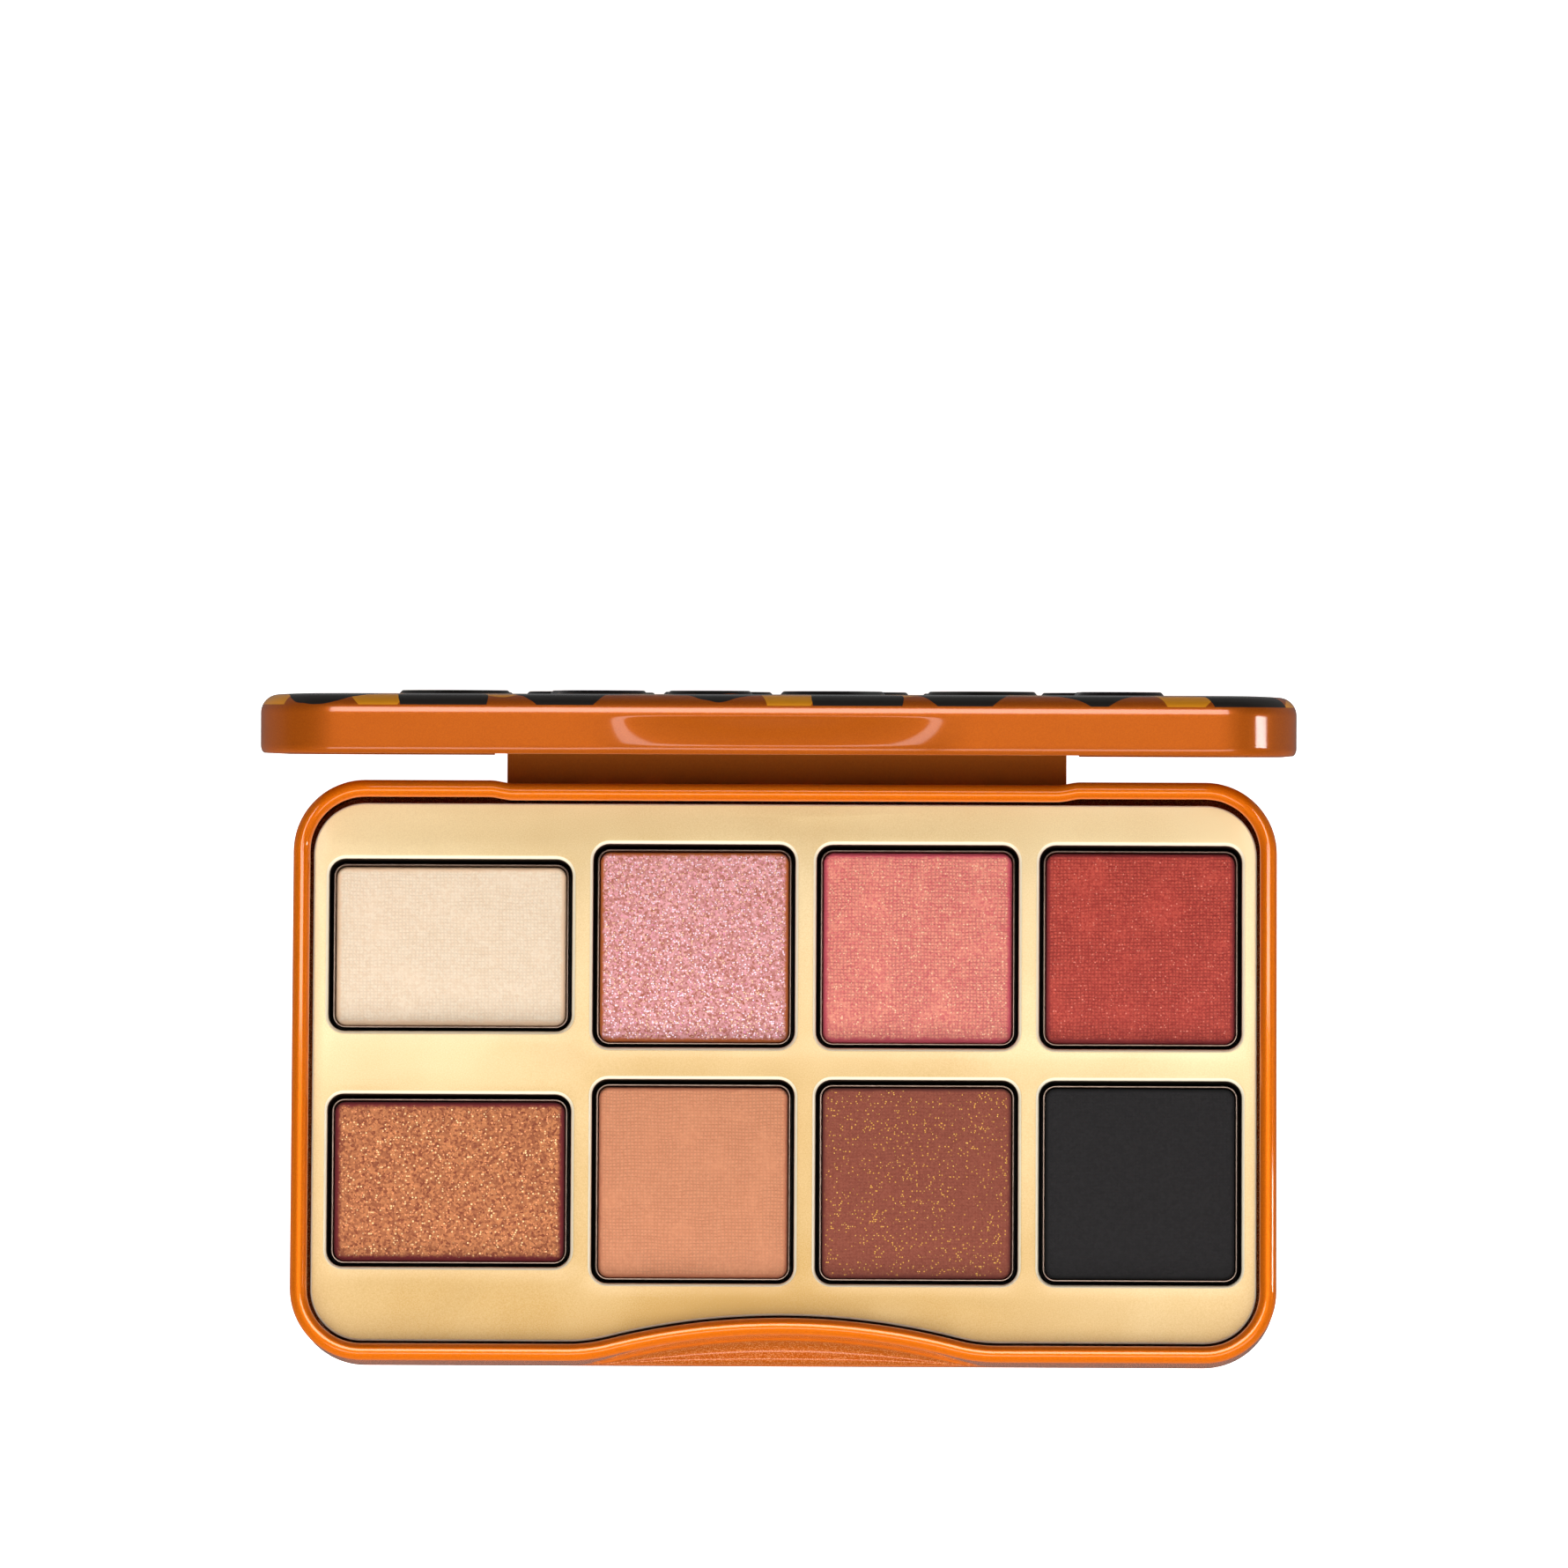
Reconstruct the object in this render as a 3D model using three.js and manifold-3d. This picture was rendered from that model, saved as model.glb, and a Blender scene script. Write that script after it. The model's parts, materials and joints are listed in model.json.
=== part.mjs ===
// A slim hinged eyeshadow tin: a base with a gold tray of eight pans, and a slip-over lid with a mirror.
// Millimetres, +Z up, +Y to the back. The origin is the middle of the base's underside.
import * as THREE from "three";
import { mergeVertices } from "three/addons/utils/BufferGeometryUtils.js";
import Module from "manifold-3d";

// Base tin
const BASE_WIDTH = 110;
const BASE_DEPTH = 65;
const BASE_HEIGHT = 11.9;
const BASE_CORNER = 8;
const SHEET = 0.3;
const BEAD_RADIUS = 0.95;
const BOTTOM_ROUND = 1;

// Thumb notch in the base's front: full depth at the rim, faded out above the straight foot
const NOTCH_DEPTH = 3;
const NOTCH_HALF = 24;
const NOTCH_BLEND = 0.205;
const SCOOP_FOOT = 2.2;
const SCOOP_EDGE = 1;
const SCOOP_FILLET = 1.8;

// Shallow set-back in the base's back wall, which makes room for the lid's flap
const JOG_DEPTH = 0.35;
const JOG_HALF = 33;
const JOG_RUN = 2.7;

// Lid: a slip-over shell, drawn closed and then turned open about the hinge
const LID_WIDTH = 112.1;
const LID_FRONT = -33.75;
const LID_BACK = 33.15;
const LID_CORNER = 9;
const LID_TOP = 12.4;
const LID_RIM = 5.9;
const LID_ROUND = 2;
const DENT_DEPTH = 2.4;
const DENT_HALF = 21.7;
const DENT_FOOT = 6.8;
const DENT_TOP = 9.9;
const OPEN_ANGLE = 84.2;

// Raised spots on the lid's top: three rows of six
const SPOT_RISE = 0.45;
const SPOT_COLUMNS = 6;
const SPOT_ROWS = 3;
const SPOT_PITCH_X = 14.2;
const SPOT_PITCH_Y = 15;
const SPOT_RADIUS = 4.6;

// Hinge: a flap on the lid's back wall, and knuckles of both shells rolled round one wire
const FLAP_WIDTH = 63;
const RELIEF = 1.4;
const KNUCKLES = 7;
const KNUCKLE_OUTER = 1.05;
const KNUCKLE_INNER = 0.65;
const KNUCKLE_GAP = 0.3;
const WIRE_RADIUS = 0.5;
const WIRE_LENGTH = 62.6;
const HINGE_Y = LID_BACK - KNUCKLE_OUTER;
const HINGE_Z = 1.7;

// Gold tray and its wells
const TRAY_TOP = 9.9;
const TRAY_SHEET = 0.4;
const TRAY_INSET = 2.2;
const TRAY_BACK_INSET = 2.45;
const TRAY_FOOT = 0.6;
const TRAY_EDGE_ROUND = 0.3;
const WELL_FLOOR = 4.9;
const WELL_CORNER = 1.8;
const LIP_ROUND = 0.5;

// Columns of wells from left to right, each the same in both rows
const COLUMNS = [
  { name: "wide", x: -37.4, width: 27.2, length: 19.3 },
  { name: "left", x: -10.15, width: 22.6, length: 22.8 },
  { name: "middle", x: 14.85, width: 22.6, length: 22.8 },
  { name: "right", x: 39.8, width: 22.6, length: 22.8 },
];
const ROWS = [
  { name: "back", y: 14.1 },
  { name: "front", y: -12.3 },
];

// Pans, powders and the glue under each pan
const PAN_MARGIN = 0.4;
const PAN_CORNER = 1.45;
const PAN_SHEET = 0.25;
const PAN_RIM = 8.3;
const POWDER_GAP = 0.08;
const POWDER_BELOW_RIM = 0.15;
const POWDER_BEVEL = 0.5;
const GLUE_RADIUS = 6;
const GLUE_THICKNESS = 0.2;
const REST_GAP = 0.05;

// Mirror inside the lid
const MIRROR_WIDTH = 96;
const MIRROR_LENGTH = 51;
const MIRROR_CORNER = 5;
const MIRROR_THICKNESS = 1.2;
const ADHESIVE_THICKNESS = 0.25;

// Facets
const CORNER_STEPS = 6;
const NOTCH_STEPS = 14;
const JOG_STEPS = 3;
const SMALL_CORNER_STEPS = 3;
const TUBE_SIDES = 12;

const PAINT = "#d8680e";
const GOLD = "#f0d29e";
const POWDER_COLOURS = {
  back_wide: "#f5d9b7",
  back_left: "#d796b4",
  back_middle: "#e1786e",
  back_right: "#a5413a",
  front_wide: "#b06a40",
  front_left: "#dc9470",
  front_middle: "#914b3a",
  front_right: "#2a2828",
};

const wasm = await Module();
wasm.setup();

// Depth and slope of a notch at x: one wide arc, with a tight arc at each end.
function notchAt(x, depth, half) {
  const distance = Math.abs(x);
  if (depth < 1e-6 || distance >= half) return { depth: 0, slope: 0 };
  const span = half / Math.sin(2 * Math.atan(depth / half));
  const wide = span * (1 - NOTCH_BLEND);
  const tight = span * NOTCH_BLEND;
  if (distance <= half * (1 - NOTCH_BLEND)) {
    const rise = Math.sqrt(wide * wide - x * x);
    return { depth: depth - wide + rise, slope: -x / rise };
  }
  const run = half - distance;
  const rise = Math.sqrt(tight * tight - run * run);
  return { depth: tight - rise, slope: (-Math.sign(x) * run) / rise };
}

// Depth and slope of the set-back at x: level in the middle, with an S-curve at each end.
function jogAt(x, depth) {
  const t = THREE.MathUtils.clamp((JOG_HALF - Math.abs(x)) / JOG_RUN, 0, 1);
  return { depth: depth * t * t * (3 - 2 * t), slope: (-Math.sign(x) * depth * 6 * t * (1 - t)) / JOG_RUN };
}

// Points of a corner arc about (x, y), from one angle to another in degrees.
function arc(x, y, radius, from, to, steps) {
  return Array.from({ length: steps + 1 }, (_, i) => {
    const angle = THREE.MathUtils.degToRad(from + ((to - from) * i) / steps);
    return new THREE.Vector2(x + radius * Math.cos(angle), y + radius * Math.sin(angle));
  });
}

// Outline of a shell, moved inwards by inset, counter-clockwise from the notch's left end.
function shellOutline({ halfWidth, front, back, corner, notchHalf, notch = 0, jog = 0 }, inset) {
  const x = halfWidth - corner;
  const radius = corner - inset;
  const frontEdge = Array.from({ length: NOTCH_STEPS + 1 }, (_, i) => {
    const along = (2 * i * notchHalf) / NOTCH_STEPS - notchHalf;
    const { depth, slope } = notchAt(along, notch, notchHalf);
    const shift = inset / Math.hypot(slope, 1);
    return new THREE.Vector2(along - slope * shift, front + depth + shift);
  });
  const backEdge = [1, -1].flatMap((side) =>
    Array.from({ length: JOG_STEPS + 1 }, (_, i) => {
      const along = side * (JOG_HALF - (JOG_RUN * (side > 0 ? i : JOG_STEPS - i)) / JOG_STEPS);
      const { depth, slope } = jogAt(along, jog);
      const shift = inset / Math.hypot(slope, 1);
      return new THREE.Vector2(along - slope * shift, back - depth - shift);
    }),
  );
  return [
    ...frontEdge,
    ...arc(x, front + corner, radius, -90, 0, CORNER_STEPS),
    ...arc(x, back - corner, radius, 0, 90, CORNER_STEPS),
    ...backEdge,
    ...arc(-x, back - corner, radius, 90, 180, CORNER_STEPS),
    ...arc(-x, front + corner, radius, 180, 270, CORNER_STEPS),
  ];
}

// Outline of a rounded rectangle about (x, y).
function rectangleOutline(x, y, width, length, radius) {
  const dx = width / 2 - radius;
  const dy = length / 2 - radius;
  return [
    ...arc(x + dx, y - dy, radius, -90, 0, SMALL_CORNER_STEPS),
    ...arc(x + dx, y + dy, radius, 0, 90, SMALL_CORNER_STEPS),
    ...arc(x - dx, y + dy, radius, 90, 180, SMALL_CORNER_STEPS),
    ...arc(x - dx, y - dy, radius, 180, 270, SMALL_CORNER_STEPS),
  ];
}

// Closed surface through a stack of rings with equal point counts; its first and last rings are filled in.
function loft(rings) {
  const count = rings[0].points.length;
  const positions = rings.flatMap(({ points, z }) => points.flatMap((p) => [p.x, p.y, z]));
  const index = [];
  for (let ring = 0; ring + 1 < rings.length; ring++) {
    for (let i = 0; i < count; i++) {
      const a = ring * count + i;
      const b = ring * count + ((i + 1) % count);
      index.push(a, b, b + count, a, b + count, a + count);
    }
  }
  const last = (rings.length - 1) * count;
  for (const [a, b, c] of THREE.ShapeUtils.triangulateShape(rings[0].points, [])) index.push(c, b, a);
  for (const [a, b, c] of THREE.ShapeUtils.triangulateShape(rings.at(-1).points, [])) {
    index.push(last + a, last + b, last + c);
  }
  const geometry = new THREE.BufferGeometry();
  geometry.setAttribute("position", new THREE.Float32BufferAttribute(positions, 3));
  geometry.setIndex(index);
  return geometry;
}

// Geometry to solid and back, for joins and cuts.
function solid(geometry) {
  const bare = geometry.clone();
  bare.deleteAttribute("normal");
  bare.deleteAttribute("uv");
  const merged = mergeVertices(bare, 1e-4);
  const vertProperties = new Float32Array(merged.attributes.position.array);
  const triVerts = new Uint32Array(merged.index.array);
  return new wasm.Manifold(new wasm.Mesh({ numProp: 3, vertProperties, triVerts }));
}

function geometryOf(manifold) {
  const mesh = manifold.getMesh();
  const geometry = new THREE.BufferGeometry();
  geometry.setAttribute("position", new THREE.Float32BufferAttribute(mesh.vertProperties, 3));
  geometry.setIndex([...mesh.triVerts]);
  geometry.computeVertexNormals();
  return geometry;
}

// Box between two corners.
function box(x0, x1, y0, y1, z0, z1) {
  return new THREE.BoxGeometry(x1 - x0, y1 - y0, z1 - z0).translate((x0 + x1) / 2, (y0 + y1) / 2, (z0 + z1) / 2);
}

// Knuckle i of the hinge, counted from the left: its ends, and its rolled tube round the wire.
function knuckleSpan(i) {
  const pitch = FLAP_WIDTH / KNUCKLES;
  const start = i * pitch - FLAP_WIDTH / 2;
  return { start: start + KNUCKLE_GAP / 2, end: start + pitch - KNUCKLE_GAP / 2 };
}

function knuckleTube({ start, end }) {
  const profile = [
    [KNUCKLE_INNER, start],
    [KNUCKLE_OUTER, start],
    [KNUCKLE_OUTER, end],
    [KNUCKLE_INNER, end],
    [KNUCKLE_INNER, start],
  ].map(([radius, along]) => new THREE.Vector2(radius, along));
  const tube = new THREE.LatheGeometry(profile, TUBE_SIDES);
  return tube.rotateZ(-Math.PI / 2).translate(0, HINGE_Y, HINGE_Z);
}

const knuckleSpans = Array.from({ length: KNUCKLES }, (_, i) => knuckleSpan(i));
const lidSpans = knuckleSpans.filter((_, i) => i % 2 === 0);
const baseSpans = knuckleSpans.filter((_, i) => i % 2 === 1);

// Base tin: floor, wall with its scooped notch, rolled bead, and the base knuckles.
function baseTin() {
  const spec = {
    halfWidth: BASE_WIDTH / 2,
    front: -BASE_DEPTH / 2,
    back: BASE_DEPTH / 2,
    corner: BASE_CORNER,
    notchHalf: NOTCH_HALF,
    jog: JOG_DEPTH,
  };
  const ring = (z, inset, notch) => ({ z, points: shellOutline({ ...spec, notch }, inset) });
  const wallBottom = SCOOP_FOOT + SCOOP_EDGE;
  const scoop = [
    [SCOOP_FOOT, 0],
    [SCOOP_FOOT + SCOOP_EDGE * Math.SQRT1_2, SCOOP_EDGE * (1 - Math.SQRT1_2)],
    [wallBottom, SCOOP_EDGE],
    [wallBottom, NOTCH_DEPTH - SCOOP_FILLET],
    [wallBottom + SCOOP_FILLET * (1 - Math.SQRT1_2), NOTCH_DEPTH - SCOOP_FILLET * (1 - Math.SQRT1_2)],
    [wallBottom + SCOOP_FILLET, NOTCH_DEPTH],
  ];
  const beadZ = BASE_HEIGHT - BEAD_RADIUS;
  const bead = [0, 45, 90, 135, 180, 225].map((degrees) => {
    const angle = THREE.MathUtils.degToRad(degrees);
    const inset = BEAD_RADIUS * (1 - Math.cos(angle));
    return ring(beadZ + BEAD_RADIUS * Math.sin(angle), inset, NOTCH_DEPTH);
  });
  const shell = loft([
    ring(0, BOTTOM_ROUND, 0),
    ring(BOTTOM_ROUND * (1 - Math.SQRT1_2), BOTTOM_ROUND * (1 - Math.SQRT1_2), 0),
    ring(BOTTOM_ROUND, 0, 0),
    ...scoop.map(([z, notch]) => ring(z, 0, notch)),
    ...bead,
    ring(beadZ - BEAD_RADIUS, BEAD_RADIUS, NOTCH_DEPTH),
    ring(beadZ - BEAD_RADIUS, SHEET, NOTCH_DEPTH),
    ...scoop.reverse().map(([z, notch]) => ring(z, SHEET, notch)),
    ring(BOTTOM_ROUND, SHEET, 0),
    ring(SHEET, BOTTOM_ROUND, 0),
  ]);
  const wallY = BASE_DEPTH / 2 - JOG_DEPTH;
  const windowBottom = HINGE_Z - KNUCKLE_OUTER - 0.25;
  const half = FLAP_WIDTH / 2 + KNUCKLE_GAP;
  let made = solid(shell);
  made = made.subtract(solid(box(-half, half, wallY - 1.2, wallY + 1, windowBottom, HINGE_Z + 0.9)));
  for (const { start, end } of lidSpans) {
    const slot = [start - KNUCKLE_GAP, end + KNUCKLE_GAP, wallY - 1.2, wallY + 1];
    made = made.subtract(solid(box(...slot, HINGE_Z, HINGE_Z + KNUCKLE_OUTER + 0.3)));
  }
  for (const span of baseSpans) made = made.add(solid(knuckleTube(span)));
  return geometryOf(made);
}

// Outline of raised spot (column, row): a soft, uneven oval.
function spotOutline(column, row) {
  const phase = 1.7 * column + 2.9 * row;
  const x = (column - (SPOT_COLUMNS - 1) / 2) * SPOT_PITCH_X + 1.2 * Math.sin(phase);
  const y = (row - (SPOT_ROWS - 1) / 2) * SPOT_PITCH_Y + 1.4 * Math.cos(1.3 * phase);
  const shape = new THREE.Shape();
  const points = Array.from({ length: 10 }, (_, i) => {
    const angle = (2 * Math.PI * i) / 10;
    const radius = SPOT_RADIUS * (1 + 0.16 * Math.cos(2 * angle + phase) + 0.1 * Math.sin(3 * angle + phase));
    return new THREE.Vector2(x + 1.15 * radius * Math.cos(angle), y + radius * Math.sin(angle));
  });
  return shape.setFromPoints(points);
}

// Lid tin: top with raised spots, skirt with its thumb dent, hinge flap and the lid knuckles.
function lidTin() {
  const spec = { halfWidth: LID_WIDTH / 2, front: LID_FRONT, back: LID_BACK, corner: LID_CORNER };
  const ring = (z, inset, notch) => {
    return { z, points: shellOutline({ ...spec, notchHalf: DENT_HALF, notch }, inset) };
  };
  const dent = [0, 0.25, 0.5, 0.75, 1].map((t) => {
    return [DENT_FOOT + (DENT_TOP - DENT_FOOT) * t, DENT_DEPTH * (1 - t * t * (3 - 2 * t))];
  });
  const wall = [[LID_RIM, DENT_DEPTH], ...dent];
  const roundTop = (radius) => {
    return [0, 22.5, 45, 67.5, 90].map((degrees) => {
      const angle = THREE.MathUtils.degToRad(degrees);
      return ring(LID_TOP - LID_ROUND + radius * Math.sin(angle), LID_ROUND - radius * Math.cos(angle), 0);
    });
  };
  const shell = loft([
    ...roundTop(LID_ROUND - SHEET).reverse(),
    ...wall.toReversed().map(([z, notch]) => ring(z, SHEET, notch)),
    ...wall.map(([z, notch]) => ring(z, 0, notch)),
    ...roundTop(LID_ROUND),
  ]);
  const flapHalf = FLAP_WIDTH / 2;
  const wallInside = LID_BACK - SHEET;
  const flapBottom = HINGE_Z + KNUCKLE_OUTER + 0.15;
  let made = solid(shell);
  made = made.add(solid(box(-flapHalf, flapHalf, wallInside, LID_BACK, flapBottom, LID_RIM + 1)));
  for (const side of [-1, 1]) {
    const ends = [side * flapHalf, side * (flapHalf + RELIEF)].sort((a, b) => a - b);
    made = made.subtract(solid(box(...ends, wallInside - 1, LID_BACK + 1, LID_RIM - 1, LID_RIM + 1)));
  }
  for (const span of lidSpans) {
    made = made.add(solid(box(span.start, span.end, wallInside, LID_BACK, HINGE_Z, flapBottom + 0.2)));
    made = made.add(solid(knuckleTube(span)));
  }
  for (let column = 0; column < SPOT_COLUMNS; column++) {
    for (let row = 0; row < SPOT_ROWS; row++) {
      const spot = new THREE.ExtrudeGeometry(spotOutline(column, row), {
        depth: SPOT_RISE + SHEET / 2,
        bevelEnabled: false,
      });
      made = made.add(solid(spot.translate(0, 0, LID_TOP - SHEET / 2)));
    }
  }
  return geometryOf(made);
}

// Wire that both shells' knuckles are rolled round, with slightly rounded ends.
function hingeWire() {
  const half = WIRE_LENGTH / 2;
  const profile = [
    [0, -half],
    [WIRE_RADIUS * 0.7, -half],
    [WIRE_RADIUS, -half + 0.2],
    [WIRE_RADIUS, half - 0.2],
    [WIRE_RADIUS * 0.7, half],
    [0, half],
  ].map(([radius, along]) => new THREE.Vector2(radius, along));
  return new THREE.LatheGeometry(profile, TUBE_SIDES).rotateZ(-Math.PI / 2).translate(0, HINGE_Y, HINGE_Z);
}

// One well: a filleted mouth and a straight pocket, made larger by the sheet for its outside.
function wellSolid({ x, width, length }, { y }, grow, floor, top) {
  const outline = (inset) => {
    return rectangleOutline(x, y, width + 2 * (grow - inset), length + 2 * (grow - inset), WELL_CORNER + grow - inset);
  };
  const rings = [
    { z: floor, points: outline(0) },
    { z: top - LIP_ROUND, points: outline(0) },
  ];
  if (grow > 0) return solid(loft([rings[0], { z: top, points: outline(0) }]));
  return solid(
    loft([
      ...rings,
      { z: top - LIP_ROUND * (1 - Math.SQRT1_2), points: outline(-LIP_ROUND * (1 - Math.SQRT1_2)) },
      { z: top, points: outline(-LIP_ROUND) },
      { z: top + 1, points: outline(-LIP_ROUND) },
    ]),
  );
}

// Gold tray: a thin formed sheet with a turned-down edge and eight wells.
function trayInsert() {
  const spec = {
    halfWidth: BASE_WIDTH / 2,
    front: -BASE_DEPTH / 2,
    back: BASE_DEPTH / 2 - TRAY_BACK_INSET + TRAY_INSET,
    corner: BASE_CORNER,
    notchHalf: NOTCH_HALF,
    notch: NOTCH_DEPTH,
  };
  const ring = (z, inset) => ({ z, points: shellOutline(spec, TRAY_INSET + inset) });
  let made = solid(
    loft([ring(TRAY_FOOT, 0), ring(TRAY_TOP - TRAY_EDGE_ROUND, 0), ring(TRAY_TOP, TRAY_EDGE_ROUND)]),
  );
  made = made.subtract(solid(loft([ring(TRAY_FOOT - 1, TRAY_SHEET), ring(TRAY_TOP - TRAY_SHEET, TRAY_SHEET)])));
  for (const row of ROWS) {
    for (const column of COLUMNS) {
      made = made.add(wellSolid(column, row, TRAY_SHEET, WELL_FLOOR - TRAY_SHEET, TRAY_TOP - TRAY_SHEET / 2));
    }
  }
  for (const row of ROWS) {
    for (const column of COLUMNS) made = made.subtract(wellSolid(column, row, 0, WELL_FLOOR, TRAY_TOP));
  }
  return geometryOf(made);
}

// Heights inside a well, from its floor up.
const glueBottom = WELL_FLOOR + REST_GAP;
const panBottom = glueBottom + GLUE_THICKNESS + REST_GAP;
const powderBottom = panBottom + PAN_SHEET + REST_GAP;
const powderTop = PAN_RIM - POWDER_BELOW_RIM;

// Open pan, placed about the origin in plan.
function pan({ width, length }) {
  const outline = (inset) => {
    const less = 2 * (PAN_MARGIN + inset);
    return rectangleOutline(0, 0, width - less, length - less, PAN_CORNER - inset);
  };
  return loft([
    { z: panBottom, points: outline(0) },
    { z: PAN_RIM, points: outline(0) },
    { z: PAN_RIM, points: outline(PAN_SHEET) },
    { z: panBottom + PAN_SHEET, points: outline(PAN_SHEET) },
  ]);
}

// Pressed powder that fills a pan, with a bevelled top edge.
function powder({ width, length }) {
  const outline = (inset) => {
    const less = 2 * (PAN_MARGIN + PAN_SHEET + POWDER_GAP + inset);
    return rectangleOutline(0, 0, width - less, length - less, PAN_CORNER - PAN_SHEET - inset / 2);
  };
  return loft([
    { z: powderBottom, points: outline(0) },
    { z: powderTop - POWDER_BEVEL, points: outline(0) },
    { z: powderTop, points: outline(POWDER_BEVEL) },
  ]);
}

function gluePad() {
  const disc = new THREE.CylinderGeometry(GLUE_RADIUS, GLUE_RADIUS, GLUE_THICKNESS, TUBE_SIDES);
  return disc.rotateX(Math.PI / 2).translate(0, 0, glueBottom + GLUE_THICKNESS / 2);
}

// Flat sheet with rounded corners, between two heights.
function sheetBetween(width, length, radius, bottom, top) {
  const points = rectangleOutline(0, 0, width, length, radius);
  return loft([
    { z: bottom, points },
    { z: top, points },
  ]);
}

function material(color, roughness, metalness) {
  return new THREE.MeshStandardMaterial({ color, roughness, metalness });
}

function piece(name, geometry, look) {
  const mesh = new THREE.Mesh(geometry, look);
  mesh.name = name;
  return mesh;
}

const palette = new THREE.Group();

// Base with everything in it
palette.add(piece("base_tin", baseTin(), material(PAINT, 0.35, 0.5)));
palette.add(piece("hinge_wire", hingeWire(), material("#b8b8b6", 0.3, 1)));
palette.add(piece("tray_insert", trayInsert(), material(GOLD, 0.3, 0.9)));
for (const row of ROWS) {
  for (const column of COLUMNS) {
    const place = row.name + "_" + column.name;
    const filled = new THREE.Group();
    filled.position.set(column.x, row.y, 0);
    filled.add(piece("glue_" + place, gluePad(), material("#e8e4d8", 0.8, 0)));
    filled.add(piece("pan_" + place, pan(column), material("#e0d4c4", 0.25, 1)));
    filled.add(piece("powder_" + place, powder(column), material(POWDER_COLOURS[place], 0.8, 0)));
    palette.add(filled);
  }
}

// Lid, drawn closed and turned open about the hinge wire
const closedLid = new THREE.Group();
closedLid.position.set(0, -HINGE_Y, -HINGE_Z);
closedLid.add(piece("lid_tin", lidTin(), material(PAINT, 0.35, 0.5)));
const ceiling = LID_TOP - SHEET;
const adhesiveBottom = ceiling - REST_GAP - ADHESIVE_THICKNESS;
const mirrorTop = adhesiveBottom - REST_GAP;
const mirrorBottom = mirrorTop - MIRROR_THICKNESS;
const adhesive = sheetBetween(
  MIRROR_WIDTH - 6,
  MIRROR_LENGTH - 6,
  MIRROR_CORNER,
  adhesiveBottom,
  ceiling - REST_GAP,
);
const mirror = sheetBetween(MIRROR_WIDTH, MIRROR_LENGTH, MIRROR_CORNER, mirrorBottom, mirrorTop);
closedLid.add(piece("mirror_adhesive", adhesive, material("#d8d4c8", 0.9, 0)));
closedLid.add(piece("mirror", mirror, material("#dfe4e6", 0.02, 1)));
const lid = new THREE.Group();
lid.position.set(0, HINGE_Y, HINGE_Z);
lid.rotation.x = THREE.MathUtils.degToRad(-OPEN_ANGLE);
lid.add(closedLid);
palette.add(lid);

export default palette;
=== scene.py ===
# Looks of a slim hinged eyeshadow tin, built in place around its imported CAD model.
# Shapes are given in millimetres and stored in metres. +Z is up and +Y is the back.
import json
import math
from collections import namedtuple

import bmesh
import bpy
from mathutils import Matrix, Vector
from mathutils.geometry import delaunay_2d_cdt


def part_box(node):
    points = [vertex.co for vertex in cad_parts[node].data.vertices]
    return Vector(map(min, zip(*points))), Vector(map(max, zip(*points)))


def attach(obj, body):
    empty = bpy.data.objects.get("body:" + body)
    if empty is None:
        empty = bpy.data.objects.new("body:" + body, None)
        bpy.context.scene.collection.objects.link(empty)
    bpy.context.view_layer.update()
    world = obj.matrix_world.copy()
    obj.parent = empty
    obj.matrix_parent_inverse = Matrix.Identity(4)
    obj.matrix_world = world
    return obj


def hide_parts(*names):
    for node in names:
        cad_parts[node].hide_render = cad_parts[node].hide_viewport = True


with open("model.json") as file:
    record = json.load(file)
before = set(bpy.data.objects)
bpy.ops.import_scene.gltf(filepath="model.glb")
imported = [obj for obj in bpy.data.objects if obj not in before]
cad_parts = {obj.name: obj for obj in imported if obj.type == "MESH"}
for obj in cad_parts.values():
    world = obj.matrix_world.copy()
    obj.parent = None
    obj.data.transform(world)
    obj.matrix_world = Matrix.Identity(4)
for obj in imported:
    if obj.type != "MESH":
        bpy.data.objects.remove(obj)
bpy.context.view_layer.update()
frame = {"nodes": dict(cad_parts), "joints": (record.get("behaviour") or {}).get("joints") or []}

MM = 0.001
SHEET = 0.3

# Hinge, and the turn that opens the lid from its closed place
hinge = next(j for j in frame["joints"] if j["name"] == "lid_hinge")
pivot = Vector(hinge["pos_m"])
open_angle = math.radians(-hinge["range_deg"][0])
opened = (
    Matrix.Translation(pivot)
    @ Matrix.Rotation(-open_angle, 4, "X")
    @ Matrix.Translation(-pivot)
)
shut = opened.inverted()
HINGE_Y, HINGE_Z = pivot.y / MM, pivot.z / MM


def node_box(name, turn=None):
    """Lowest and highest corner of a CAD node, in millimetres, after a turn."""
    if turn is None:
        low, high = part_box(name)
        return low / MM, high / MM
    points = [turn @ v.co / MM for v in frame["nodes"][name].data.vertices]
    low = Vector(min(p[i] for p in points) for i in range(3))
    high = Vector(max(p[i] for p in points) for i in range(3))
    return low, high


base_low, base_high = node_box("base_tin")
lid_low, lid_high = node_box("lid_tin", shut)
tray_low, tray_high = node_box("tray_insert")

# Base tin
BASE_CORNER = 8
BASE_BACK = -base_low.y
BASE_TOP = base_high.z
BEAD = 0.95
BOTTOM_ROUND = 1
PANEL_INSET = 3.2
PANEL_RISE = 0.18
PANEL_STEPS = (1, 0.5), (0.85, 0.35), (0.15, 0.15), (0, 0)
NOTCH_DEPTH = 3
NOTCH_HALF = 24
NOTCH_BLEND = 0.205
SCOOP_FOOT = 2.2
SCOOP_EDGE = 1
SCOOP_FILLET = 1.8
SHELF_TOP = 4.3
JOG_DEPTH = 0.35
JOG_HALF = 33
JOG_RUN = 2.7

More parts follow.
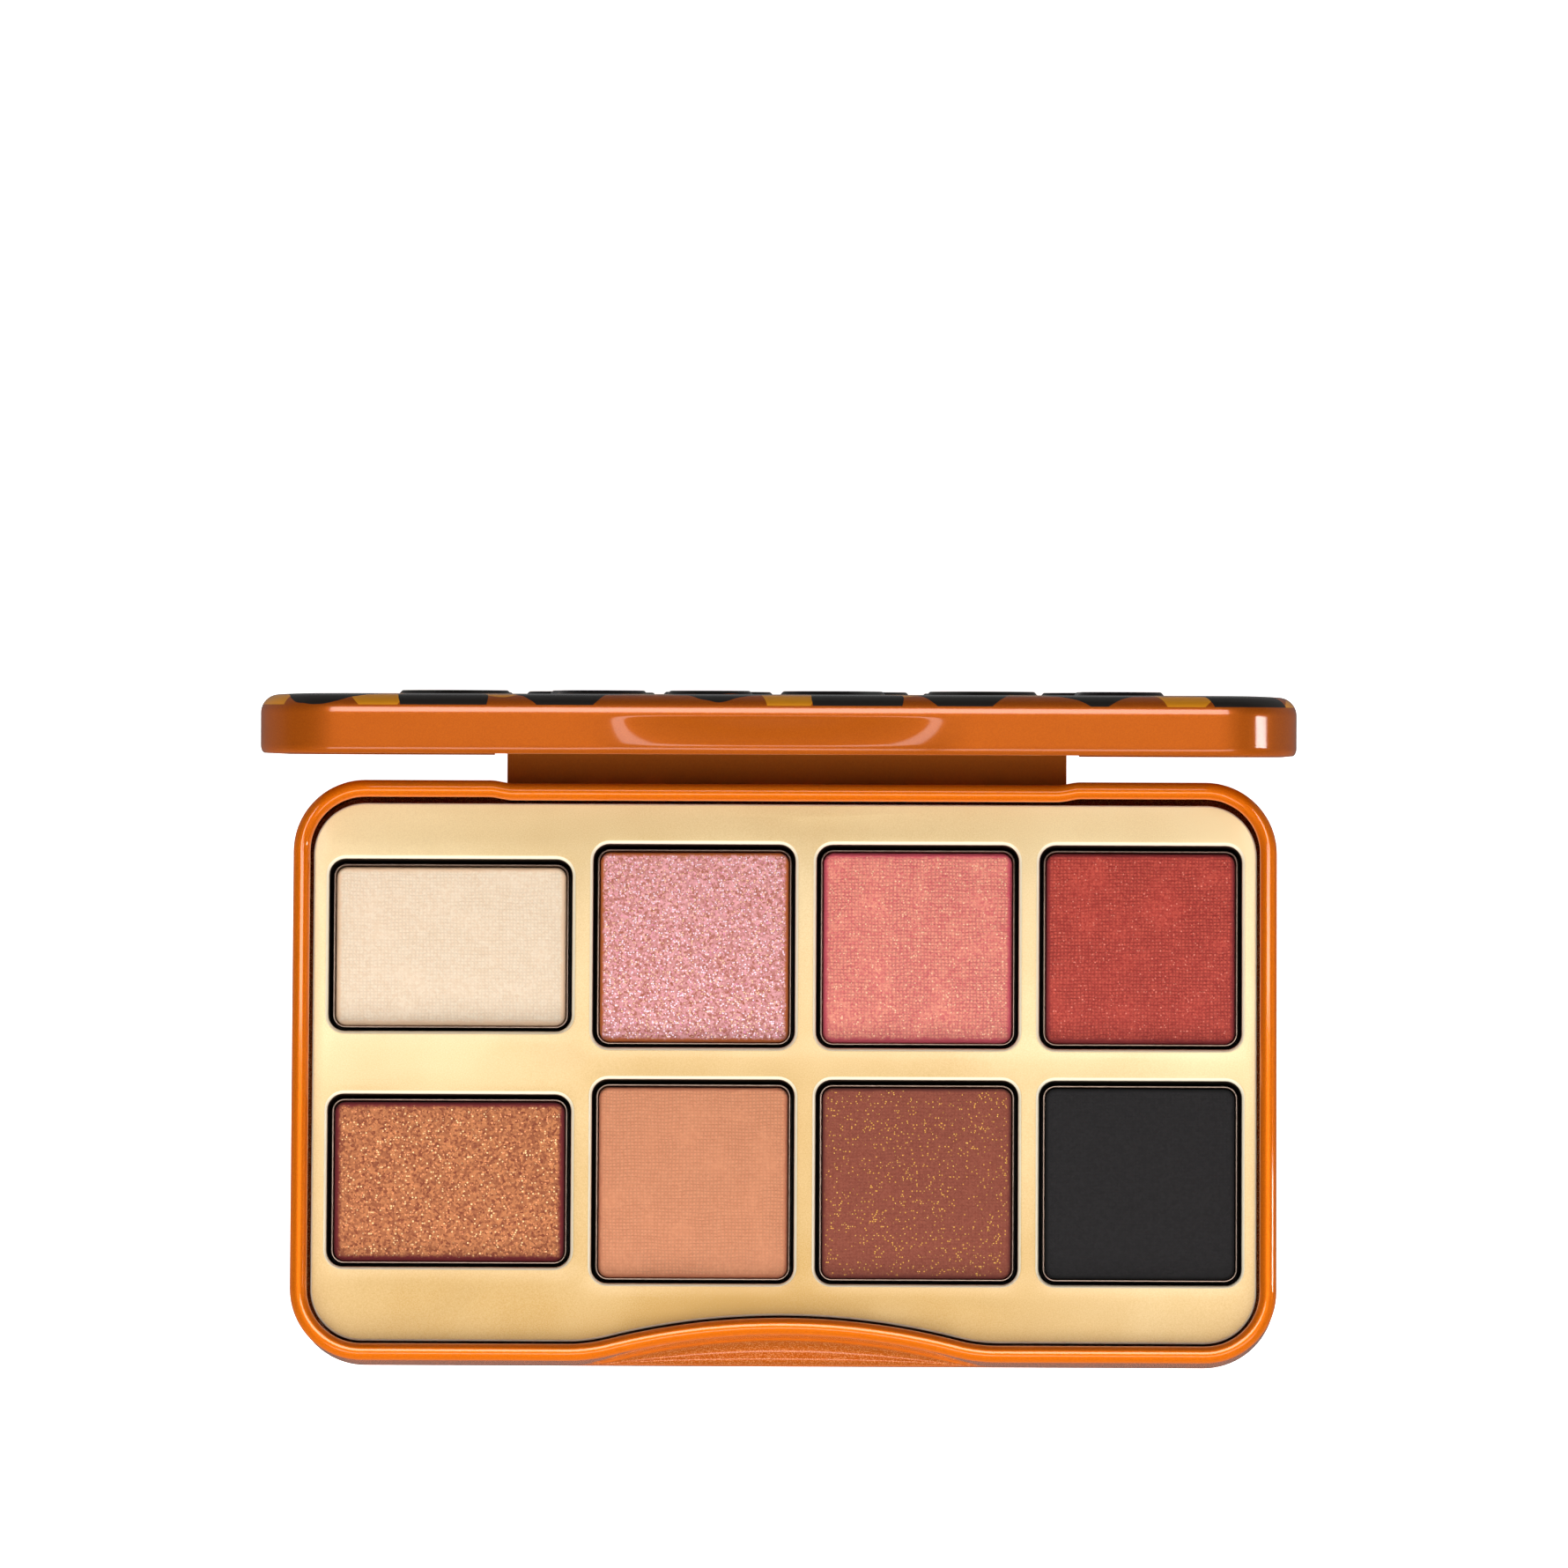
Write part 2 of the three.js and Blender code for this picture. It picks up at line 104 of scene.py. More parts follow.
# Lid
LID_CORNER = 9
LID_SHEET = 0.2
LID_BACK = HINGE_Y + 1.05
LID_RIM = 5.9
SPOT_RISE = 0.45
LID_TOP = lid_high.z - SPOT_RISE
LID_ROUND = 2
CROWN = 0.14
CROWN_WIDTH = 4
HEM_INSET = 0.48
HEM_WIDTH = 0.54
HEM_HEIGHT = 0.88
DENT_DEPTH = 2.4
DENT_HALF = 21.7
DENT_FOOT = 6.8
DENT_TOP = 10.1
DENT_EDGE = 0.1
PRINT_DEPTH = 1.25

# Raised spots: three rows of six
SPOT_COLUMNS = 6
SPOT_ROWS = 3
SPOT_PITCH_X = 14.2
SPOT_PITCH_Y = 15
SPOT_RADIUS = 4.6
SPOT_STRETCH = 1.15
SPOT_SLOPE = 0.5
SPOT_POINTS = 56
SPOT_RINGS = 7
DRIFT_X = 1.2
DRIFT_Y = 1.4
COLUMN_PHASE = 1.7
ROW_PHASE = 2.9
ROW_BEAT = 1.3

# Hinge
FLAP_WIDTH = 63
RELIEF = 1.4
RELIEF_DEPTH = 2
RELIEF_HEIGHT = 1
KNUCKLES = 7
KNUCKLE_GAP = 0.3
KNUCKLE_RADIUS = 0.9
KNUCKLE_BEND = 0.25
KNUCKLE_FOOT = 3.4
KNUCKLE_SHEET = SHEET - 0.04
BASE_CURL = 78, -200
LID_CURL = 0, -288
FLAP_SHEET = SHEET - 0.03
WINDOW_DEPTH = 1.2
WINDOW_FOOT = 0.4
WINDOW_RISE = 0.9
POCKET_RISE = 1.35
PAST_WALL = 1
FLAP_FOOT = 0.92
FLAP_HEAD = 1.6
FLAP_FACING = 0.5
FLAP_CLEAR = 1.1
PIN_SIDES = 28
PIN_TAPER = 0.25

# Tray
TRAY_TOP = tray_high.z
TRAY_FOOT = tray_low.z
TRAY_INSET = tray_low.x - base_low.x
TRAY_SHEET = 0.35
TRAY_EDGE = 0.3
PAN_MARGIN = 0.4
WELL_FLOOR = 4.9
WELL_CORNER = 1.8
WELL_ROUND = 0.4
WELL_DARK = 0.75
LIP = 0.5
GRID = 1.5
GRID_X, GRID_Y = 55, 33
EDGE_GAP = 0.7
WELL_GAP = 0.6

# Mirror, pans and powders
MIRROR_CORNER = 5
MIRROR_BEVEL = 0.35
PAN_CORNER = 1.45
PAN_SHEET = 0.25
PAN_FOOT = 0.35
PAN_CHAMFER = 0.1
PAN_FILLET = 0.3
POWDER_CORNER = 1.2
POWDER_ROUND = 0.42
POWDER_ROUND_IN = 0.45
WEAVE_PITCH = 0.39

# Steps along a shell's outline
CORNER_STEPS = 20
NOTCH_STEPS = 72
JOG_STEPS = 10

Shell = namedtuple("Shell", "half front back corner notch_half jog")


def smooth(t):
    t = min(1, max(0, t))
    return t * t * (3 - 2 * t)


def notch_at(x, depth, half):
    """Depth and slope of a notch: one wide arc, with a tight arc at each end."""
    distance = abs(x)
    if depth < 1e-6 or distance >= half:
        return 0, 0
    span = half / math.sin(2 * math.atan(depth / half))
    wide, tight = span * (1 - NOTCH_BLEND), span * NOTCH_BLEND
    if distance <= half * (1 - NOTCH_BLEND):
        rise = math.sqrt(wide * wide - x * x)
        return depth - wide + rise, -x / rise
    run = half - distance
    rise = math.sqrt(tight * tight - run * run)
    return tight - rise, math.copysign(run, -x) / rise


def jog_at(x, depth):
    """Depth and slope of the set-back in the base's back wall."""
    t = min(1, max(0, (JOG_HALF - abs(x)) / JOG_RUN))
    slope = math.copysign(depth * 6 * t * (1 - t), -x) / JOG_RUN
    return depth * t * t * (3 - 2 * t), slope


def quarter(steps):
    """Angles over a quarter turn."""
    return [math.pi / 2 * i / steps for i in range(steps + 1)]


def arc(x, y, radius, start, end, steps):
    """Points of an arc between two angles in degrees."""
    angles = [math.radians(start + (end - start) * i / steps) for i in range(steps + 1)]
    return [(x + radius * math.cos(a), y + radius * math.sin(a)) for a in angles]


def shell_outline(spec, inset, notch=0):
    """Outline of a shell moved inwards by inset, counter-clockwise."""
    x = spec.half - spec.corner
    radius = spec.corner - inset
    front, back = [], []
    for i in range(NOTCH_STEPS + 1):
        along = 2 * i * spec.notch_half / NOTCH_STEPS - spec.notch_half
        depth, slope = notch_at(along, notch, spec.notch_half)
        shift = inset / math.hypot(slope, 1)
        front.append((along - slope * shift, spec.front + depth + shift))
    for side in (1, -1):
        for i in range(JOG_STEPS + 1):
            run = JOG_RUN * (i if side > 0 else JOG_STEPS - i) / JOG_STEPS
            along = side * (JOG_HALF - run)
            depth, slope = jog_at(along, spec.jog)
            shift = inset / math.hypot(slope, 1)
            back.append((along - slope * shift, spec.back - depth - shift))
    low, high = spec.front + spec.corner, spec.back - spec.corner
    return [
        *front,
        *arc(x, low, radius, -90, 0, CORNER_STEPS),
        *arc(x, high, radius, 0, 90, CORNER_STEPS),
        *back,
        *arc(-x, high, radius, 90, 180, CORNER_STEPS),
        *arc(-x, low, radius, 180, 270, CORNER_STEPS),
    ]


def rectangle_outline(low, high, radius, inset=0, steps=8):
    """Outline of a rounded rectangle, moved inwards by inset, counter-clockwise."""
    x0, y0, x1, y1 = low.x + radius, low.y + radius, high.x - radius, high.y - radius
    r = radius - inset
    return [
        *arc(x1, y0, r, -90, 0, steps),
        *arc(x1, y1, r, 0, 90, steps),
        *arc(x0, y1, r, 90, 180, steps),
        *arc(x0, y0, r, 180, 270, steps),
    ]


class Shape:
    """Points and faces gathered for one piece, in millimetres, with each face's material number."""

    def __init__(self):
        self.points, self.faces, self.looks = [], [], []

    def add(self, points, faces, look=0):
        start = len(self.points)
        self.points += [Vector(p) for p in points]
        self.faces += [[start + i for i in face] for face in faces]
        self.looks += [look] * len(faces)

    def loft(self, rings, look=0, first=True, last=True):
        """Surface through rings of (x, y, z) points.

        First and last say whether its ends are filled.
        """
        count = len(rings[0])
        faces = []
        for ring in range(len(rings) - 1):
            for i in range(count):
                a, b = ring * count + i, ring * count + (i + 1) % count
                faces.append((a, b, b + count, a + count))
        end = (len(rings) - 1) * count
        if first:
            faces.append(tuple(reversed(range(count))))
        if last:
            faces.append(tuple(range(end, end + count)))
        self.add([p for ring in rings for p in ring], faces, look)

    def box(self, low, high):
        (x0, y0, z0), (x1, y1, z1) = low, high
        rings = [[(x0, y0, z), (x1, y0, z), (x1, y1, z), (x0, y1, z)] for z in (z0, z1)]
        self.loft(rings)

    def build(self, name, turn=None):
        """The gathered faces as an object, merged where they meet."""
        mesh = bpy.data.meshes.new(name)
        points = [p * MM for p in self.points]
        if turn is not None:
            points = [turn @ p for p in points]
        mesh.from_pydata(points, [], self.faces)
        mesh.polygons.foreach_set("material_index", self.looks)
        work = bmesh.new()
        work.from_mesh(mesh)
        bmesh.ops.remove_doubles(work, verts=work.verts, dist=2e-6)
        bmesh.ops.dissolve_degenerate(work, edges=work.edges, dist=1e-7)
        bmesh.ops.recalc_face_normals(work, faces=work.faces)
        work.to_mesh(mesh)
        work.free()
        made = bpy.data.objects.new(name, mesh)
        bpy.context.scene.collection.objects.link(made)
        return made


def bake(made):
    """Puts the result of the object's modifiers into its mesh."""
    graph = bpy.context.evaluated_depsgraph_get()
    mesh = bpy.data.meshes.new_from_object(made.evaluated_get(graph))
    made.modifiers.clear()
    made.data = mesh


def cut(made, shape, turn=None):
    tool = shape.build("cutter", turn)
    modifier = made.modifiers.new("cut", "BOOLEAN")
    modifier.operation = "DIFFERENCE"
    modifier.solver = "EXACT"
    modifier.object = tool
    bake(made)
    bpy.data.objects.remove(tool)


def thicken(made, thickness, offset):
    modifier = made.modifiers.new("thicken", "SOLIDIFY")
    modifier.thickness = thickness * MM
    modifier.offset = offset
    modifier.use_even_offset = True
    bake(made)


def finish_piece(made, body, looks, replaced, sharp=35):
    """Smooth shading, materials, and the piece's body and replaced CAD nodes.

    Clearing the materials also clears each face's material number, so the numbers are kept aside.
    """
    numbers = [polygon.material_index for polygon in made.data.polygons]
    made.data.materials.clear()
    for look in looks:
        made.data.materials.append(look.material)
    made.data.polygons.foreach_set("material_index", numbers)
    made.data.shade_smooth()
    made.data.set_sharp_from_angle(angle=math.radians(sharp))
    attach(made, body)
    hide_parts(*replaced)


# Materials


def linear(red, green, blue):
    """An sRGB colour in 0..255 as linear values."""
    made = []
    for value in (red, green, blue):
        v = value / 255
        made.append(v / 12.92 if v <= 0.04045 else ((v + 0.055) / 1.055) ** 2.4)
    return (*made, 1)


class Field:
    """A number that varies over a surface, worked out by Math nodes."""

    def __init__(self, look, socket):
        self.look, self.socket = look, socket

    def math(self, operation, *values):
        node = self.look.node("ShaderNodeMath", operation=operation)
        for i, value in enumerate((self, *values)):
            self.look.feed(node.inputs[i], value)
        return Field(self.look, node.outputs[0])

    def __add__(self, other):
        return self.math("ADD", other)

    def __sub__(self, other):
        return self.math("SUBTRACT", other)

    def __mul__(self, other):
        return self.math("MULTIPLY", other)

    def __truediv__(self, other):
        return self.math("DIVIDE", other)

    def __abs__(self):
        return self.math("ABSOLUTE")

    def sin(self):
        return self.math("SINE")

    def cos(self):
        return self.math("COSINE")

    def floor(self):
        return self.math("FLOOR")

    def power(self, exponent):
        return self.math("POWER", exponent)

    def at_least(self, other):
        return self.math("MAXIMUM", other)

    def at_most(self, other):
        return self.math("MINIMUM", other)

    def below(self, limit, width):
        """1 where the number is under limit, 0 over it, with an edge of that width."""
        node = self.look.node("ShaderNodeMapRange", interpolation_type="SMOOTHSTEP")
        self.look.feed(node.inputs["Value"], self)
        if isinstance(limit, Field):
            self.look.feed(node.inputs["Value"], self - limit)
            limit = 0
        node.inputs["From Min"].default_value = limit - width / 2
        node.inputs["From Max"].default_value = limit + width / 2
        node.inputs["To Min"].default_value = 1
        node.inputs["To Max"].default_value = 0
        return Field(self.look, node.outputs["Result"])

    def above(self, limit, width):
        return self.below(limit, width) * -1 + 1


class Look:
    """One procedural material: a Principled shader and the nodes that feed it."""

    def __init__(self, name, **values):
        self.material = bpy.data.materials.new(name)
        self.material.use_nodes = True
        self.tree = self.material.node_tree
        self.shader = self.tree.nodes["Principled BSDF"]
        for socket, value in values.items():
            self.set(socket.replace("_", " "), value)
        self.place = self.node("ShaderNodeTexCoord").outputs["Object"]

    def node(self, kind, **settings):
        made = self.tree.nodes.new(kind)
        for setting, value in settings.items():
            setattr(made, setting, value)
        return made

    def feed(self, socket, value):
        if isinstance(value, Field):
            value = value.socket
        if isinstance(value, bpy.types.NodeSocket):
            self.tree.links.new(value, socket)
        else:
            socket.default_value = value

    def set(self, socket, value):
        self.feed(self.shader.inputs[socket], value)

    def axes(self, place=None):
        """x, y and z over the surface, in millimetres."""
        node = self.node("ShaderNodeSeparateXYZ")
        self.feed(node.inputs[0], place or self.place)
        return [Field(self, node.outputs[i]) * (1 / MM) for i in range(3)]

    def upright(self):
        """How far the surface faces up, from 0 (a wall) to 1 (level)."""
        node = self.node("ShaderNodeSeparateXYZ")
        self.feed(node.inputs[0], self.node("ShaderNodeTexCoord").outputs["Normal"])
        return Field(self, node.outputs[2])

    def noise(self, size, detail=2):
        """Smooth noise from 0 to 1, with features of about that size in millimetres."""
        node = self.node("ShaderNodeTexNoise")
        self.feed(node.inputs["Vector"], self.place)
        node.inputs["Scale"].default_value = 1 / (size * MM)
        node.inputs["Detail"].default_value = detail
        return Field(self, node.outputs["Fac"])

    def cells(self, size):
        """Scattered cells of that size: distance from the middle, and three random numbers each."""
        node = self.node("ShaderNodeTexVoronoi")
        self.feed(node.inputs["Vector"], self.place)
        node.inputs["Scale"].default_value = 1 / (size * MM)
        split = self.node("ShaderNodeSeparateColor")
        self.feed(split.inputs[0], node.outputs["Color"])
        return Field(self, node.outputs["Distance"]), [
            Field(self, split.outputs[i]) for i in range(3)
        ]

    def mix(self, factor, a, b):
        """Colour a where factor is 0 and b where it is 1."""
        node = self.node("ShaderNodeMix", data_type="RGBA")
        self.feed(node.inputs[0], factor)
        self.feed(node.inputs[6], a)
        self.feed(node.inputs[7], b)
        return node.outputs[2]

    def bump(self, *layers):
        """Relief from pairs of a 0-to-1 height and its depth in millimetres."""
        normal = None
        for height, depth in layers:
            node = self.node("ShaderNodeBump")
            node.inputs["Strength"].default_value = 1
            node.inputs["Distance"].default_value = depth * MM
            self.feed(node.inputs["Height"], height)
            if normal is not None:
                self.feed(node.inputs["Normal"], normal)
            normal = node.outputs["Normal"]
        self.set("Normal", normal)


def closed_place(look):
    """Coordinates over the lid as if it were closed."""
    node = look.node("ShaderNodeMapping", vector_type="POINT")
    look.feed(node.inputs["Vector"], look.place)
    turn = Matrix.Rotation(open_angle, 4, "X")
    node.inputs["Rotation"].default_value = (open_angle, 0, 0)
    node.inputs["Location"].default_value = pivot - turn @ pivot
    return node.outputs["Vector"]


def spot_radius(cos2, sin3):
    return cos2 * 0.16 + sin3 * 0.1 + 1


# Lacquer and gold colours, and each printed ink's shift in columns and size beside a raised spot
LACQUER_METAL = 0.35
# Painted shade and painted glints for level faces low on the base
LEDGE_SHADE, LEDGE_GLINT = linear(140, 62, 4), linear(250, 176, 112)
AMBER, BLACK = linear(255, 165, 30), linear(38, 33, 30)
INKS = ("amber", 0.5, 0.62), ("black", 0, 1)
# Ends of the gold's tone, which mixes cloud and grain with a painted light drift
DEEP_GOLD, PALE_GOLD = (0.52, 0.29, 0.055, 1), (0.91, 0.72, 0.40, 1)
# A painted highlight for the wells' lips and painted shade for their insides
LIP_HIGHLIGHT, WELL_SHADE = (0.97, 0.88, 0.66, 1), (0.02, 0.012, 0.008, 1)


def ledge_shade_and_glint(look, colour):
    """Colour with painted shade and painted glints on level faces low on the base."""
    low = look.axes()[2].below(SHELF_TOP, 0.8) * look.upright().above(0.4, 0.4)
    painted_glint = look.noise(0.13, 1).above(0.56, 0.12)
    colour = look.mix(low * 0.65, colour, LEDGE_SHADE)
    return look.mix(low * painted_glint * 0.4, colour, LEDGE_GLINT)


def spotted_print(look, colour):
    """Colour under a generic spotted print on the lid's top, whose black ink isn't metallic."""
    x, y, z = look.axes(closed_place(look))
    wobble_x, wobble_y = look.noise(2.6, 1) - 0.5, look.noise(3.1, 1) - 0.5
    ink = {}
    for key, shift, size in INKS:
        u = x / SPOT_PITCH_X + SPOT_COLUMNS / 2 + shift
        v = y / SPOT_PITCH_Y + SPOT_ROWS / 2
        column, row = u.floor(), v.floor()
        phase = column * COLUMN_PHASE + row * ROW_PHASE
        across = (u - column - 0.5) * SPOT_PITCH_X - phase.sin() * DRIFT_X
        along = (v - row - 0.5) * SPOT_PITCH_Y - (phase * ROW_BEAT).cos() * DRIFT_Y
        across = (across + wobble_x * 0.7) / SPOT_STRETCH
        along = along + wobble_y * 0.7
        reach = (across * across + along * along).power(0.5)
        angle = along.math("ARCTAN2", across)
        edge = spot_radius((angle * 2 + phase).cos(), (angle * 3 + phase).sin())
        ink[key] = reach.below(edge * (SPOT_RADIUS * size), 0.08)
    over = z.above(LID_TOP - PRINT_DEPTH, 0.1)
    look.set("Metallic", (ink["black"] * over) * -LACQUER_METAL + LACQUER_METAL)
    colour = look.mix(ink["amber"] * over, colour, AMBER)
    return look.mix(ink["black"] * over, colour, BLACK)


def lacquer(name, dark, light, gloss, finish):
    """Metallic lacquer with a fine grain under a clear coat, its colour worked over by finish."""
    look = Look(
        name,
        Metallic=LACQUER_METAL,
        Coat_Weight=1,
        Coat_Roughness=gloss,
        Coat_IOR=1.5,
        Specular_IOR_Level=0.1,
    )
    grain = look.noise(0.16, 1)
    blotch = look.noise(9, 2)
    shade = grain.above(0.5, 0.5) * 0.7 + blotch * 0.3
    colour = look.mix(shade, linear(*dark), linear(*light))
    look.set("Base Color", finish(look, colour))
    look.set("Roughness", grain * 0.1 + 0.33)
    look.bump((look.noise(0.5, 2), 0.0015), (grain, 0.004))
    return look


def satin_gold():
    """Satin gold with a painted light drift in its tone, a painted highlight on the lip round each
    well and painted shade inside the wells below it.
    """
    look = Look("satin_gold", Coat_Weight=0.22, Coat_Roughness=0.14, Coat_IOR=1.6)
    grain = look.noise(0.14, 1)
    cloud = look.noise(14, 2)
    x, y, z = look.axes()
    # Painted light: the tone drifts darker towards the front middle and paler towards the back and
    # sides
    painted_light_drift = y / 88 + x / 900 - (x / 18).cos() * 0.16 + 0.51
    shade = (painted_light_drift + (cloud - 0.5) * 0.5 + (grain - 0.5) * 0.4).at_least(0).at_most(1)
    up = look.upright()
    # Painted shade darkens the wells' insides below the lip and the steep faces, and takes their
    # metal away
    inside = z.below(TRAY_TOP - WELL_DARK, 0.4).at_least(up.below(0.4, 0.3))
    tone = look.mix(shade, DEEP_GOLD, PALE_GOLD)
    # A painted highlight on the lip round each well
    tone = look.mix(up.below(0.95, 0.08), tone, LIP_HIGHLIGHT)
    look.set("Base Color", look.mix(inside, tone, WELL_SHADE))
    look.set("Metallic", inside * -0.15 + 0.15)
    look.set("Roughness", grain * 0.1 + 0.38)
    look.bump((look.noise(1.3, 3), 0.002), (grain, 0.0008))
    return look


def plain_metal(name, dark, light, roughness, grain_size=0.3):
    look = Look(name, Metallic=1)
    grain = look.noise(grain_size, 3)
    look.set("Base Color", look.mix(grain, linear(*dark), linear(*light)))
    look.set("Roughness", grain * 0.2 + roughness)
    look.bump((grain, 0.001))
    return look


def inner_enamel():
    look = Look("inner_enamel", Metallic=0.35, Specular_IOR_Level=0.15)
    grain = look.noise(0.2, 2)
    look.set("Base Color", look.mix(grain, linear(162, 84, 14), linear(184, 98, 22)))
    look.set("Roughness", grain * 0.1 + 0.42)
    look.bump((look.noise(0.6, 2), 0.002))
    return look


def soft_glue(name, dark, light):
    look = Look(name, IOR=1.45)
    cloud = look.noise(1.2, 3)
    look.set("Base Color", look.mix(cloud, linear(*dark), linear(*light)))
    look.set("Roughness", cloud * 0.2 + 0.5)
    look.bump((cloud, 0.02))
    return look


def mirror_glass():
    look = Look("mirror_glass", Metallic=1)
    haze = look.noise(7, 3)
    look.set("Base Color", look.mix(haze, (0.86, 0.885, 0.88, 1), (0.9, 0.92, 0.915, 1)))
    look.set("Roughness", haze.above(0.55, 0.3) * 0.02 + 0.01)
    return look


def glass_edge():
    look = Look("glass_edge", Coat_Weight=0.5)
    grain = look.noise(0.4, 3)
    look.set("Base Color", look.mix(grain, linear(88, 120, 108), linear(128, 160, 148)))
    look.set("Roughness", grain * 0.2 + 0.2)
    look.bump((grain, 0.002))
    return look


Powder = namedtuple("Powder", "dark light edge edge_width weave grain flecks cover")

POWDERS = {
    "back_wide": Powder((242, 216, 185), (252, 233, 207), (242, 206, 170), 0.5, 0.3, 0.3, (), 0),
    "back_left": Powder(
        (166, 86, 46), (254, 186, 194), (196, 104, 50), 0.4, 0, 0.22,
        ((255, 226, 240), (242, 140, 200), (252, 206, 170)), 0.45,
    ),
    "back_middle": Powder(
        (224, 107, 109), (255, 171, 144), (206, 84, 98), 0.5, 0.7, 0.22, ((255, 206, 168),), 0.1,
    ),
    "back_right": Powder(
        (172, 57, 51), (217, 94, 77), (148, 50, 50), 0.45, 0.9, 0.22, ((226, 128, 110),), 0.06,
    ),
    "front_wide": Powder(
        (126, 52, 38), (236, 153, 97), (118, 34, 38), 0.6, 0.2, 0.24,
        ((255, 206, 146), (240, 156, 104)), 0.22,
    ),
    "front_left": Powder((219, 143, 104), (231, 156, 116), (206, 126, 92), 0.35, 0.5, 0.3, (), 0),
    "front_middle": Powder(
        (138, 68, 52), (158, 86, 66), (126, 60, 50), 0.35, 0.3, 0.2,
        ((246, 200, 90), (214, 156, 66)), 0.12,
    ),
    "front_right": Powder((26, 24, 25), (34, 32, 33), (22, 21, 22), 0.3, 0.3, 0.3, (), 0),
}


def pressed_powder(place, recipe):
    """Pressed powder: a cloth's weave left in its face with painted shade in its grooves, flecks of
    mica, and a rougher border.
    """
    look = Look("powder_" + place, Sheen_Weight=0.04, Specular_IOR_Level=0.3)
    low, high = node_box("powder_" + place)
    x, y, _ = look.axes()
    middle, half = (low + high) / 2, (high - low) / 2
    side = abs(x - middle.x) * -1 + half.x
    end = abs(y - middle.y) * -1 + half.y
    edge = side.at_most(end) + (look.noise(0.8, 3) - 0.5) * 0.5
    border = edge.below(recipe.edge_width, recipe.edge_width)
    mottle = look.noise(0.5, 3)
    distance, chance = look.cells(recipe.grain)
    tone = chance[0] * 0.75 + mottle * 0.25
    colour = look.mix(tone, linear(*recipe.dark), linear(*recipe.light))
    bend = (look.noise(3, 1) - 0.5) * 0.5
    turn = math.pi / WEAVE_PITCH
    gap = ((x + bend) * turn).cos().power(4).at_least(((y + bend) * turn).cos().power(4))
    weave = gap * look.noise(4, 2).above(0.35, 0.5)
    layers = [(mottle, 0.03), (look.noise(0.16, 2), 0.012)]
    if recipe.weave:
        # Painted shade darkens the weave's grooves
        groove_shade = linear(*(c * 0.72 for c in recipe.dark))
        colour = look.mix(weave * (0.6 * recipe.weave), colour, groove_shade)
        layers.append((weave * -1 + 1, 0.05 * recipe.weave))
    colour = look.mix(border, colour, linear(*recipe.edge))
    roughness = mottle * 0.1 + 0.78
    if recipe.flecks:
        there = chance[1].below(recipe.cover, 0.04) * (border * -1 + 1)
        there = there * distance.below(0.42, 0.2)
        fleck = linear(*recipe.flecks[0])
        for i, other in enumerate(recipe.flecks[1:], start=1):
            share = chance[2].above(i / len(recipe.flecks), 0.02)
            fleck = look.mix(share, fleck, linear(*other))
        colour = look.mix(there, colour, fleck)
        layers.append((chance[2] * there, 0.02))
        look.set("Metallic", there * 0.3)
        roughness = roughness - there * 0.35
    look.set("Base Color", colour)
    look.set("Roughness", roughness)
    look.bump(*layers)
    return look


# The base's lacquer carries painted shade and painted glints on its low ledges
base_paint = lacquer("base_lacquer", (226, 107, 2), (242, 121, 3), 0.05, ledge_shade_and_glint)
lid_paint = lacquer("lid_lacquer", (173, 79, 5), (187, 91, 10), 0.11, spotted_print)
enamel = inner_enamel()
gold = satin_gold()
steel = plain_metal("hinge_steel", (170, 170, 168), (205, 205, 202), 0.2)
pan_metal = plain_metal("pan_metal", (120, 100, 88), (176, 156, 140), 0.22, 0.5)


# Base tin: recessed underside, scooped notch, rolled bead
base = Shell(base_high.x, base_low.y, BASE_BACK, BASE_CORNER, NOTCH_HALF, JOG_DEPTH)


def base_ring(z, inset, notch=0.0):
    return [(x, y, z) for x, y in shell_outline(base, inset, notch)]


bottom_round = [
    (BOTTOM_ROUND * (1 - math.sin(a)), BOTTOM_ROUND * (1 - math.cos(a)))
    for a in reversed(quarter(6))
]
scoop = [
    *((SCOOP_FOOT + SCOOP_EDGE * math.sin(a), SCOOP_EDGE * (1 - math.cos(a))) for a in quarter(8)),
    *(
        (
            SCOOP_FOOT + SCOOP_EDGE + SCOOP_FILLET * (1 - math.cos(a)),
            NOTCH_DEPTH - SCOOP_FILLET * (1 - math.sin(a)),
        )
        for a in quarter(10)
    ),
]
bead_z = BASE_TOP - BEAD
bead = [
    (bead_z + BEAD * math.sin(a), BEAD * (1 - math.cos(a)))
    for a in (math.radians(d) for d in range(0, 271, 9))
]
shape = Shape()
shape.loft(
    [
        *(base_ring(PANEL_RISE * rise, PANEL_INSET + step) for rise, step in PANEL_STEPS),
        *(base_ring(z, inset) for z, inset in bottom_round),
        *(base_ring(z, 0, notch) for z, notch in scoop),
        *(base_ring(z, inset, NOTCH_DEPTH) for z, inset in bead),
        base_ring(bead_z - BEAD, SHEET, NOTCH_DEPTH),
        *(base_ring(z, SHEET, notch) for z, notch in reversed(scoop)),
        base_ring(BOTTOM_ROUND, SHEET),
        base_ring(SHEET, BOTTOM_ROUND),
    ]
)
base_shell = shape.build("base_shell")

